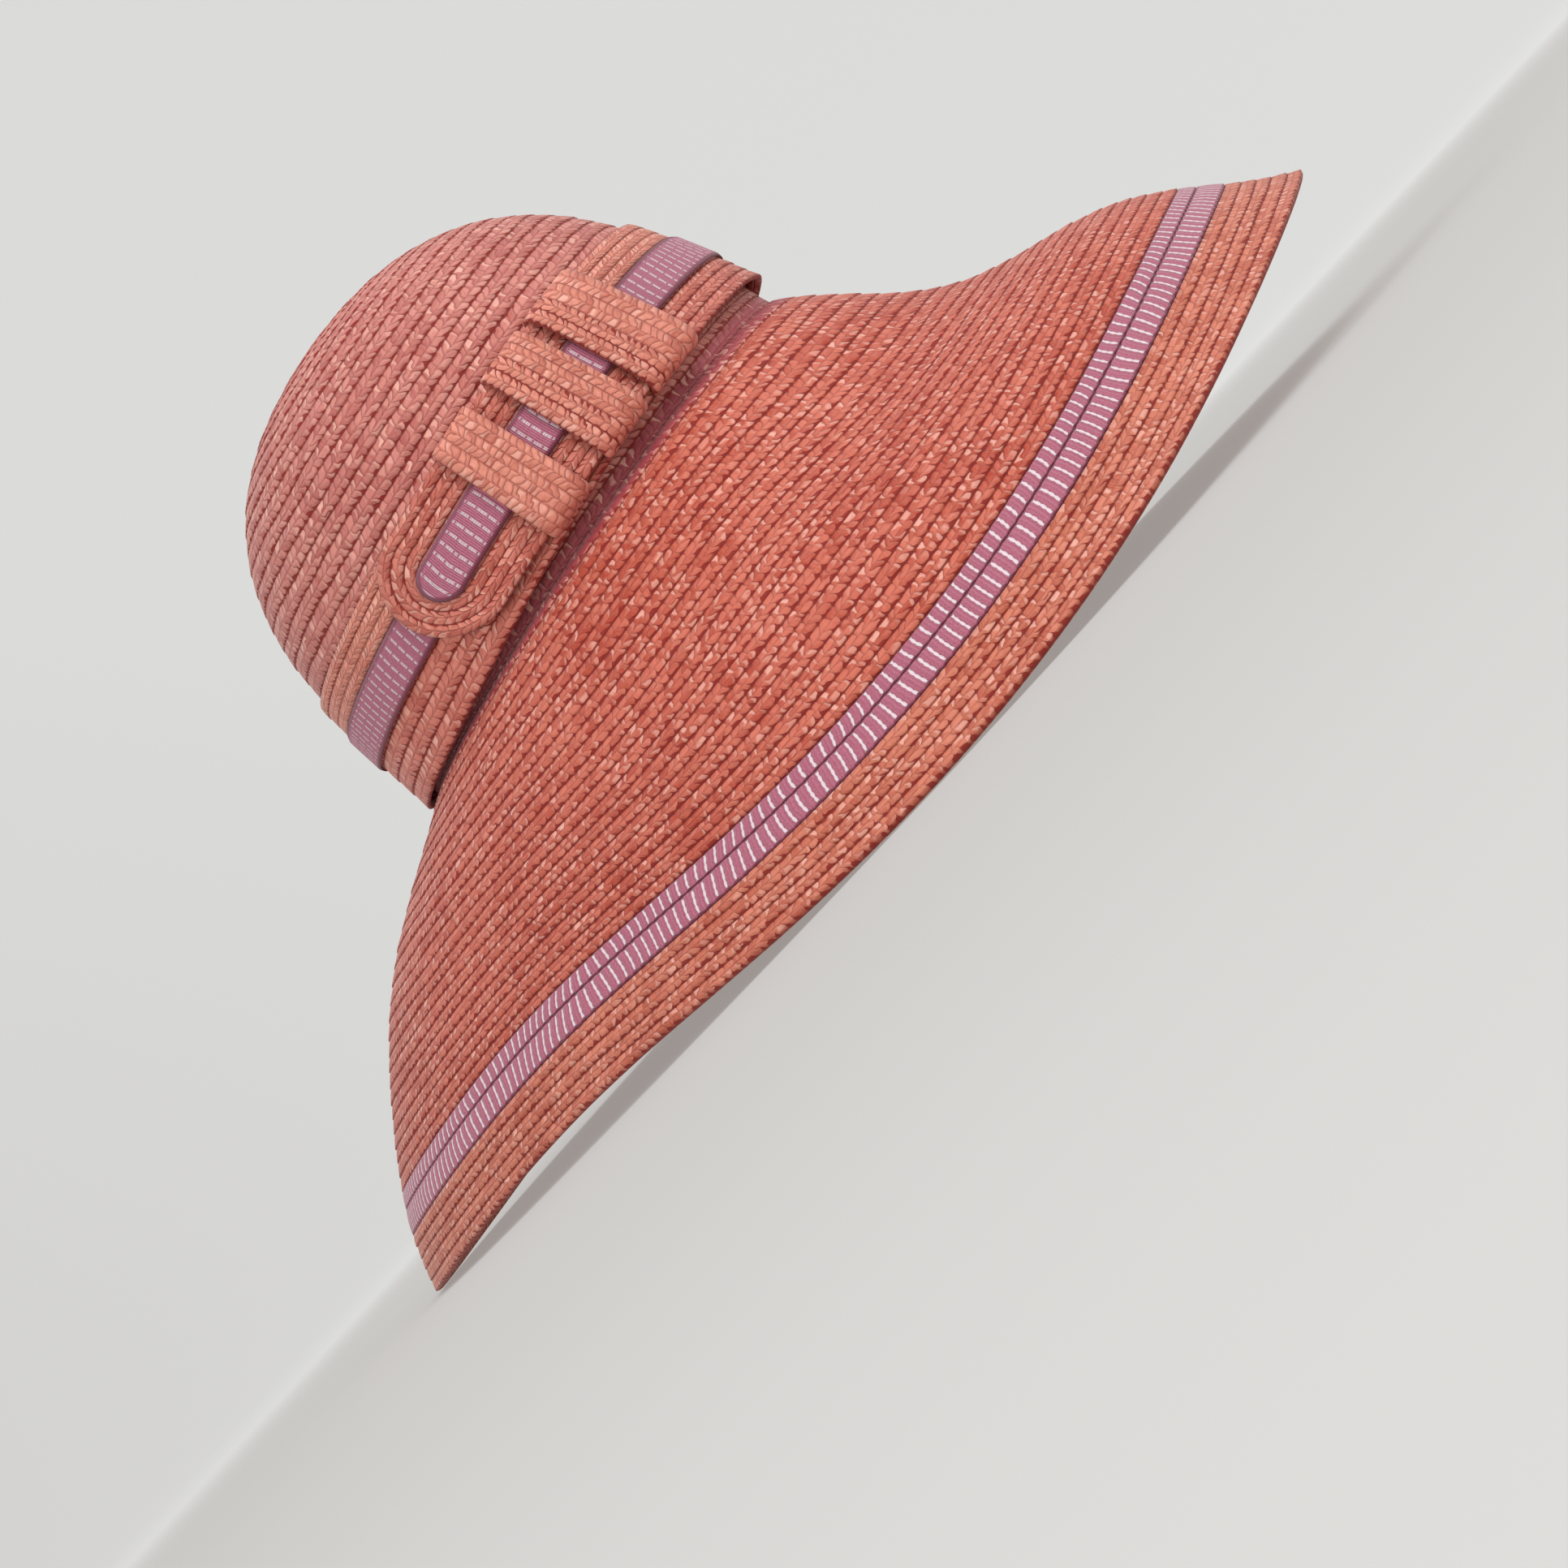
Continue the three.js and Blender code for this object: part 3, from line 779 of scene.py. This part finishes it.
def ribbon_group():
    """Ribbed ribbon with white stitches across it and dark selvedges"""
    name = "Stitched Ribbon"
    if name in bpy.data.node_groups:
        return bpy.data.node_groups[name]
    tree, given, out = new_group(name, {
        "Rows": "Vector", "Cloth": "Color", "Dash": "Color", "Selvedge": "Color",
        "Ribs": "Float", "Stitches": "Float", "Ticks": "Float", "Dash Width": "Float",
        "Lean": "Float", "Puff": "Float",
    })
    along, across, _ = given["Rows"].parts()
    across, back = face_and_back(tree, across)
    sway = noise(tree, together(tree, along * 0.11, across * 0.6, 0)) - 0.5
    u = along + given["Lean"] * (across - 0.5) + sway * 1.3
    line = abs(u - u.floor() - 0.5)
    stitch = across * given["Stitches"] + luck(tree, together(tree, u.floor(), 0, 0))[0] * 0.6
    hold = abs(stitch - stitch.floor() - 0.5)
    tick = (stitch * given["Ticks"]).wave()
    puff = given["Puff"]
    hem = 0.1 - 0.14 * line * puff
    inside = across.climb(hem - 0.03, hem + 0.03)
    inside = inside * (1 - across).climb(hem - 0.03, hem + 0.03)
    width = given["Dash Width"] * (1 - puff * 1.6 * hold * hold)
    dash = (1 - line.climb(width * 0.7, width * 1.3)) * (0.55 + 0.45 * tick.most(puff))
    dash = dash * (1 - hold.climb(0.36, 0.47)).most(puff) * inside
    rib = (u * given["Ribs"]).wave()
    thread = noise(tree, together(tree, u * given["Ribs"] * 1.7, across * 26, 0))
    warp = (across * given["Stitches"] * given["Ticks"]).wave()
    ladder = (1 - rib).climb(0.55, 0.9).most((1 - warp).climb(0.6, 0.95))
    dark = blend(tree, 0.45, given["Cloth"], given["Selvedge"])
    light = blend(tree, 0.14, given["Cloth"], given["Dash"])
    ribbed = (rib - 0.5) * (1 - 0.7 * puff) + 0.5
    cloth = blend(tree, (ribbed * 0.55 + thread * 0.5).climb(0.1, 0.95), dark, light)
    cloth = blend(tree, back * (1 - ladder) * 0.85, cloth, given["Dash"])
    cloth = blend(tree, (1 - inside) * 0.7, cloth, given["Selvedge"])
    cloth = blend(tree, dash * (1 - back) * 0.95, cloth, given["Dash"])
    plug(tree, out.inputs["Color"], cloth)
    plug(tree, out.inputs["Roughness"], 0.62 - 0.16 * rib + 0.1 * thread - 0.1 * dash)
    full = line.climb(0, 0.4) * puff
    plug(tree, out.inputs["Height"], ribbed * 0.5 + dash * 0.9 + thread * 0.3 + full * 1.6)
    return tree


def finish(name, group, bump, gloss, sheen, **values):
    """A material that lays one of the groups over its piece's own rows"""
    material = bpy.data.materials.new(name)
    material.use_nodes = True
    tree = material.node_tree
    shader = tree.nodes["Principled BSDF"]
    node = tree.nodes.new("ShaderNodeGroup")
    node.node_tree = group
    rows = tree.nodes.new("ShaderNodeUVMap")
    rows.uv_map = ROWS_MAP
    tree.links.new(rows.outputs["UV"], node.inputs["Rows"])
    if "Place" in node.inputs:
        place = tree.nodes.new("ShaderNodeTexCoord")
        tree.links.new(place.outputs["Object"], node.inputs["Place"])
    for label, value in values.items():
        socket = node.inputs[label.replace("_", " ")]
        socket.default_value = (*value, 1) if socket.type == "RGBA" else value
    relief = tree.nodes.new("ShaderNodeBump")
    relief.inputs["Distance"].default_value = bump
    for start, output, end, socket in (
        (node, "Height", relief, "Height"), (relief, "Normal", shader, "Normal"),
        (node, "Color", shader, "Base Color"), (node, "Roughness", shader, "Roughness"),
    ):
        tree.links.new(start.outputs[output], end.inputs[socket])
    shader.inputs["Specular IOR Level"].default_value = gloss
    shader.inputs["Sheen Weight"].default_value = sheen
    shader.inputs["Sheen Roughness"].default_value = 0.5
    return material


def straw(name, tint, **changes):
    """Sewn braid or plait in one tint"""
    c = colours()
    # Among these values, one sets how many braid cells get a painted glint.
    values = {
        "Straw": tint, "Fleck": c.fleck_and_glint, "Seam": c.seam, "Middle": 0.52, "Slant": 0.7,
        "Seam_Width": 0.08, "Deep_Seams": BACK_ROWS, "Gaps": 0.6, "Flecks": 0.2, "Fray": 0,
        "Foot_Row": -BACK_ROWS, "Foot": c.foot,
    }
    return finish(name, braid_group(), bump=0.0008, gloss=0.4, sheen=0.12,
                  **(values | changes))


def ribbon(name, **changes):
    """Woven ribbon with stitches across it"""
    c = colours()
    # The cloth colour defaults to the band's lightened mauve, which carries painted light.
    values = {
        "Cloth": c.mauve, "Dash": c.dash, "Selvedge": c.selvedge, "Ribs": 4,
        "Stitches": 3, "Ticks": 1, "Dash_Width": 0.13, "Lean": 0.3, "Puff": 0,
    }
    return finish(name, ribbon_group(), bump=0.0003, gloss=0.3, sheen=0.2,
                  **(values | changes))


# Operators


class STRAWHAT_OT_crown(bpy.types.Operator):
    """Rings of sewn braid from the crown's tip to its foot"""

    bl_idname = "strawhat.crown"
    bl_label = "Crown"

    def execute(self, context):
        rows = braid().crown_rows
        turn = full_turn(BAND_COLUMNS)
        places, steps = row_places(rows)
        grid = each_place(turn, places)
        strayed = places + uneven(grid, places, rows)
        quarter = np.full(len(turn), math.pi / 2)
        lean = even_across(dome_point, turn, quarter, 0 * quarter, strayed / rows)
        base = dome_point(grid, lean)
        base[:, 0] = base[:, 0].mean(0)
        face, back = sewn_lifts(turn, places, steps, braid().relief, metres().straw_wall)
        piece = shell("crown_braid", base, places, face, back, braid().crown_cell, True,
                      closed_at=0)
        # The crown's last row takes the painted foot shade.
        dress(piece, "crown",
              straw("crown straw", colours().crown, Slant=0.6, Foot_Row=rows))
        return {"FINISHED"}


def brim_across(turn, inner, outer, parts):
    """A stretch of the brim's upper face between two distances from the rim's straight way"""
    straight = np.linalg.norm(rim_point(turn) - opening_point(turn), axis=-1)
    edge = metres().edge_width * around("edge", turn)
    start = 0 * turn if inner is None else 1 - (edge + inner) / straight
    end = 1 + 0 * turn if outer is None else 1 - (edge + outer) / straight
    across = even_across(brim_point, turn, start, end, parts)
    return brim_point(each_place(turn, across[0]), across)


def sewn_brim(name, node, inner, outer, rows, bend, material):
    """Sewn rows on a stretch of the brim, which bend moves from their even parts"""
    turn = full_turn(BRIM_COLUMNS)
    places, steps = row_places(rows)
    grid = each_place(turn, places)
    parts = bend(grid, (places + uneven(grid, places, rows)) / rows)
    base = brim_across(turn, inner, outer, parts)
    face, back = sewn_lifts(turn, places, steps, braid().relief, metres().straw_wall)
    piece = shell(name, base, places, face, back, braid().brim_cell, True)
    dress(piece, node, material)


class STRAWHAT_OT_brim(bpy.types.Operator):
    """The drooping brim of sewn rows, and the rows of its edge"""

    bl_idname = "strawhat.brim"
    bl_label = "Brim"

    def execute(self, context):
        s, b, c = metres(), braid(), colours()

        def drawn_up(turn, parts):
            bump = np.exp(-((turn - b.gather_at) / b.gather_spread) ** 2 / 2)
            wide_start = WIDE_FIRST_ROWS * np.sin(math.pi * parts)
            return parts + wide_start - b.gather * bump * np.sin(math.pi * parts) ** 2

        both = s.upper_ribbon + s.lower_ribbon
        # The brim's first row takes the painted foot shade and the real pale frayed flecks.
        sewn_brim("brim_braid", "brim", None, both + s.seam_gap / 4, b.brim_rows, drawn_up,
                  straw("brim straw", c.brim, Fray=1, Foot_Row=0, Middle=0.48, Slant=0.4,
                        Seam_Width=0.105, Gaps=0.5))
        sewn_brim("brim_edge_braid", "brim_edge", 0, None, b.edge_rows,
                  lambda turn, parts: parts,
                  straw("edge straw", c.edge, Middle=0.48, Slant=0.45, Seam_Width=0.09,
                        Gaps=0.5))
        return {"FINISHED"}


class STRAWHAT_OT_brim_ribbons(bpy.types.Operator):
    """Two stitched ribbons side by side round the brim"""

    bl_idname = "strawhat.brim_ribbons"
    bl_label = "Brim Ribbons"

    def execute(self, context):
        s = metres()
        both = s.upper_ribbon + s.lower_ribbon
        turn = full_turn(BRIM_COLUMNS)
        places = np.array(PUFF_PLACES)
        swell = np.clip(np.sin(math.pi * places), 0, 1) ** PUFF_POWER
        close = s.seam_gap / 4
        for node, inner, outer in (
            ("brim_ribbon_upper", both, s.lower_ribbon + close),
            ("brim_ribbon_lower", s.lower_ribbon, close),
        ):
            puff, stitches = BRIM_RIBBONS[node]
            base = brim_across(turn, inner, outer, each_column(places, turn))
            face = each_column(puff * swell, turn)
            back = face - s.ribbon_wall
            piece = shell(f"{node}_cloth", base, places, face, back, BRIM_STITCH, True)
            dress(piece, node,
                  ribbon(f"{node} cloth", Cloth=colours().brim_mauve, Stitches=stitches,
                         Puff=1, Ribs=3))
        return {"FINISHED"}


class STRAWHAT_OT_band(bpy.types.Operator):
    """The band round the crown with its top plait and its ribbon"""

    bl_idname = "strawhat.band"
    bl_label = "Band"

    def execute(self, context):
        s, b, c = metres(), braid(), colours()
        turn = full_turn(BAND_COLUMNS)
        ribbon_top = s.ribbon_lift + s.band_ribbon

        def band_piece(name, node, places, heights, face, back, cell, material):
            base = off_band(each_place(turn, places), heights, 0)
            piece = shell(name, base, places, face, back, cell, True)
            dress(piece, node, material)
            return piece

        places, steps = row_places(b.band_rows)
        half = b.band_rows / 2
        heights = np.stack([
            np.interp(places, (0, half, 2 * half), (ribbon_top, s.ribbon_lift, foot))
            for foot in band_foot(turn)
        ])
        face, back = sewn_lifts(turn, places, steps, b.relief, s.straw_wall)
        band_piece("hat_band_braid", "hat_band", places, heights,
                   face + s.straw_wall - b.relief / 2, back + s.straw_wall, b.crown_cell,
                   straw("band straw", c.band))

        places, steps = row_places(3)
        low = ribbon_top + s.seam_gap
        seam = s.band_top - TOP_PLAIT_SEAM
        heights = each_column(np.interp(places, (0, 1, 3), (s.band_top, seam, low)), turn)
        face, back = sewn_lifts(turn, places, steps, b.plait_relief, s.straw_wall)
        band_piece("band_top_plait", "band_top_braid", places, heights,
                   face + s.straw_wall, back + s.straw_wall, b.strap_cell,
                   straw("band plait", c.strap, Seam_Width=0.07, Deep_Seams=1, Slant=1))

        places = np.linspace(0, 1, 13)
        heights = each_column(np.interp(places, (0, 1), (ribbon_top, s.ribbon_lift)), turn)
        over_band = layers()[0]
        face = np.full(heights.shape, over_band + s.ribbon_wall)
        piece = band_piece(
            "band_ribbon_cloth", "band_ribbon", places, heights, face,
            face - s.ribbon_wall, BAND_STITCH,
            ribbon("band ribbon", Stitches=4.5, Ticks=4, Dash_Width=0.12, Ribs=6),
        )
        cut = way_round(-math.pi, math.pi, (ribbon_top + s.ribbon_lift) / 2, over_band)
        return {"FINISHED"}


def tab_shell(name, width, back, places, halves, lifts, offset, wall, cell=None):
    """A tab of rows that run round its end, or with no cell, of lines that run across it"""
    s = metres()
    radius = s.opening_width / 2
    straight = np.linspace((s.tab_front - back) * radius, width / 2, TAB_STRAIGHT_COLUMNS + 1)
    bend = np.linspace(-math.pi / 2, math.pi / 2, TAB_ROUND_COLUMNS + 1)[1:-1]
    still, side = 0 * straight, np.ones_like(straight)
    middle = np.concatenate((straight, np.full(len(bend), width / 2), straight[::-1]))
    ahead = middle[:, None] - np.concatenate((still, np.cos(bend), still))[:, None] * halves
    rise = TAB_END_RISE * width * (1 - np.clip(ahead / (width / 2), 0, 1))
    up = np.concatenate((-side, np.sin(bend), side))[:, None] * halves
    heights = s.tab_lift + s.tab_width / 2 + rise + up
    base = off_band(back + ahead / radius, heights, offset)
    face = each_column(lifts + wall, base)
    return shell(name, base, places, face, 0 * face, cell or ahead / TAB_STITCH, False,
                 closed_at=-1)


class STRAWHAT_OT_tab(bpy.types.Operator):
    """The long tab with a round end on the right side, and its ribbon"""

    bl_idname = "strawhat.tab"
    bl_label = "Side Tab"

    def execute(self, context):
        s, b, c = metres(), braid(), colours()
        _, over_ribbon, over_tab = layers()
        places, steps = row_places(b.tab_rows)
        halves = s.tab_width / 2 * (1 - places / b.tab_rows)
        lifts = b.relief * 0.8 * (np.array(ROW_LIFTS)[steps] - 0.6)
        piece = tab_shell("side_tab_braid", s.tab_width, s.tab_back, places, halves, lifts,
                          over_ribbon, s.straw_wall, b.crown_cell)
        dress(piece, "side_tab", straw("tab straw", c.band, Deep_Seams=3))

        places = np.linspace(0, 0.5, 7)
        piece = tab_shell("tab_ribbon_cloth", s.band_ribbon, s.tab_ribbon_back, places,
                          s.band_ribbon * (0.5 - places), 0 * places, over_tab,
                          s.ribbon_wall)
        dress(piece, "tab_ribbon",
              ribbon("tab ribbon", Stitches=4.5, Ticks=4, Ribs=5, Lean=0))
        cut = way_round(s.tab_ribbon_back, s.tab_front, s.tab_lift + s.tab_width / 2,
                        over_tab)
        return {"FINISHED"}


class STRAWHAT_OT_straps(bpy.types.Operator):
    """Three short straps of flat plait across the tab"""

    bl_idname = "strawhat.straps"
    bl_label = "Straps"

    def execute(self, context):
        s, b, c = metres(), braid(), colours()
        over_band, _, over_tab = layers()
        top = over_tab + s.ribbon_wall + 2 * s.seam_gap
        mid, reach = s.tab_lift + s.tab_width / 2, s.tab_width / 2 + s.seam_gap
        bend = np.linspace(math.pi, 0, 161)
        for node, (angle, width, seams, deep_seams) in STRAPS.items():
            half = width * s.strap_width / s.opening_width
            places, steps = row_places(len(seams) - 1)
            across = np.interp(places, range(len(seams)), seams)
            turns = math.radians(angle) - half + 2 * half * across
            over = np.sign(np.cos(bend)) * abs(np.cos(bend)) ** STRAP_SIDE_POWER
            out = np.clip(np.sin(bend), 0, 1) ** STRAP_TOP_POWER
            path = off_band(each_column(turns, bend), each_place(mid + reach * over, turns),
                            each_place(over_band + (top - over_band) * out, turns))
            base = evened(path, STRAP_COLUMNS)
            lifts = b.plait_relief * (np.array(ROW_LIFTS)[steps] - 0.5)
            face = each_column(lifts + s.strap_wall, base)
            piece = shell(f"{node}_plait", base, places, face, 0 * face, b.strap_cell, False)
            dress(piece, node,
                  straw(f"{node} plait", c.strap, Seam_Width=0.13, Deep_Seams=deep_seams,
                        Slant=0.6, Gaps=0.75))
        return {"FINISHED"}


def make_backdrop(stage):
    """A round floor that curves up into a wall, with a soft glow that grows with distance"""
    bm = bmesh.new()
    flat, curve = stage.floor_radius, stage.backdrop_radius
    path = [bm.verts.new((0, 0, 0))]
    path += [
        bm.verts.new((flat + curve * math.sin(bend), 0, curve * (1 - math.cos(bend))))
        for bend in np.linspace(0, math.pi / 2, 13)
    ]
    path.append(bm.verts.new((flat + curve, 0, curve * 1.4)))
    edges = [bm.edges.new(pair) for pair in zip(path, path[1:])]
    bmesh.ops.spin(
        bm, geom=path + edges, cent=(0, 0, 0), axis=(0, 0, 1), angle=2 * math.pi,
        steps=96, use_merge=True,
    )
    backdrop = object_from(bm, "backdrop", 1e-5)

    paper = bpy.data.materials.new("backdrop paper")
    paper.use_nodes = True
    paper.cycles.emission_sampling = "NONE"
    tree = paper.node_tree
    shader = tree.nodes["Principled BSDF"]
    shader.inputs["Base Color"].default_value = (*stage.paper, 1)
    shader.inputs["Roughness"].default_value = 0.9
    shader.inputs["Specular IOR Level"].default_value = 0.1
    place = tree.nodes.new("ShaderNodeTexCoord")
    x, y, z = Wire(tree, place.outputs["Object"]).parts()
    away = (x * x + y * y).climb(*GLOW_REACH)
    slope = 1 + x * stage.glow_forward + z * stage.glow_upward
    glow = blend(tree, away * slope, (*stage.floor_glow, 1), (*stage.wall_glow, 1))
    plug(tree, shader.inputs["Emission Color"], glow)
    shader.inputs["Emission Strength"].default_value = 1
    backdrop.data.materials.append(paper)


def make_lights(stage):
    """A white room and two soft lights"""
    world = bpy.data.worlds.new("studio")
    bpy.context.scene.world = world
    world.use_nodes = True
    sky = world.node_tree.nodes["Background"]
    sky.inputs["Color"].default_value = (*srgb(250, 250, 252), 1)
    sky.inputs["Strength"].default_value = stage.room_light
    for name, (place, width, setting) in LIGHTS.items():
        lamp = bpy.data.lights.new(name, "AREA")
        lamp.shape = "DISK"
        lamp.size = width
        lamp.energy = getattr(stage, setting)
        light = bpy.data.objects.new(name, lamp)
        turned = (Vector(LIGHTS_AIM) - Vector(place)).to_track_quat("-Z", "Y")
        light.matrix_world = Matrix.Translation(place) @ turned.to_matrix().to_4x4()
        bpy.context.collection.objects.link(light)


def make_camera(stage):
    """A level camera at the hat's right side, tipped over as in the photograph"""
    lens = bpy.data.cameras.new("camera")
    lens.sensor_width = 36
    lens.lens = stage.lens
    lens.clip_start = 0.02
    camera = bpy.data.objects.new("camera", lens)
    away = stage.camera_distance
    place = Vector((
        away * math.sin(stage.camera_turn), -away * math.cos(stage.camera_turn),
        stage.camera_height,
    ))
    ahead = (Vector(CAMERA_AIM) - place).normalized()
    right = ahead.cross(Vector((0, 0, 1))).normalized()
    up = right.cross(ahead)
    roll = stage.camera_roll
    tipped_right = right * math.cos(roll) + up * math.sin(roll)
    tipped_up = tipped_right.cross(ahead)
    turned = Matrix((tipped_right, tipped_up, -ahead)).transposed()
    camera.matrix_world = Matrix.Translation(place) @ turned.to_4x4()
    bpy.context.collection.objects.link(camera)
    bpy.context.scene.camera = camera


class STRAWHAT_OT_stage(bpy.types.Operator):
    """A pale floor that curves up into a backdrop, soft lights and the camera"""

    bl_idname = "strawhat.stage"
    bl_label = "Stage"

    def execute(self, context):
        stage = context.scene.straw_hat_stage
        make_backdrop(stage)
        make_lights(stage)
        make_camera(stage)
        context.scene.view_settings.view_transform = "Standard"
        return {"FINISHED"}


OPERATORS = (
    STRAWHAT_OT_stage,
    STRAWHAT_OT_crown,
    STRAWHAT_OT_brim,
    STRAWHAT_OT_brim_ribbons,
    STRAWHAT_OT_band,
    STRAWHAT_OT_tab,
    STRAWHAT_OT_straps,
)

SETTINGS = {
    "straw_hat_sizes": StrawHatSizes,
    "straw_hat_braid": StrawHatBraid,
    "straw_hat_colours": StrawHatColours,
    "straw_hat_stage": StrawHatStage,
}


class STRAWHAT_PT_panel(bpy.types.Panel):
    """Settings and pieces of the straw hat"""

    bl_idname = "STRAWHAT_PT_panel"
    bl_label = "Straw Hat"
    bl_space_type = "VIEW_3D"
    bl_region_type = "UI"
    bl_category = "Straw Hat"

    def draw(self, context):
        for operator in OPERATORS:
            self.layout.operator(operator.bl_idname)
        for name, group in SETTINGS.items():
            box = self.layout.box()
            for label in group.__annotations__:
                box.prop(getattr(context.scene, name), label)


CLASSES = (*SETTINGS.values(), *OPERATORS, STRAWHAT_PT_panel)


def register():
    for each in CLASSES:
        bpy.utils.register_class(each)
    for name, group in SETTINGS.items():
        setattr(bpy.types.Scene, name, bpy.props.PointerProperty(type=group))


def unregister():
    for name in SETTINGS:
        delattr(bpy.types.Scene, name)
    for each in reversed(CLASSES):
        bpy.utils.unregister_class(each)


def main():
    register()
    bpy.ops.strawhat.stage()
    bpy.ops.strawhat.crown()
    bpy.ops.strawhat.brim()
    bpy.ops.strawhat.brim_ribbons()
    bpy.ops.strawhat.band()
    bpy.ops.strawhat.tab()
    bpy.ops.strawhat.straps()


if __name__ == "__main__":
    main()
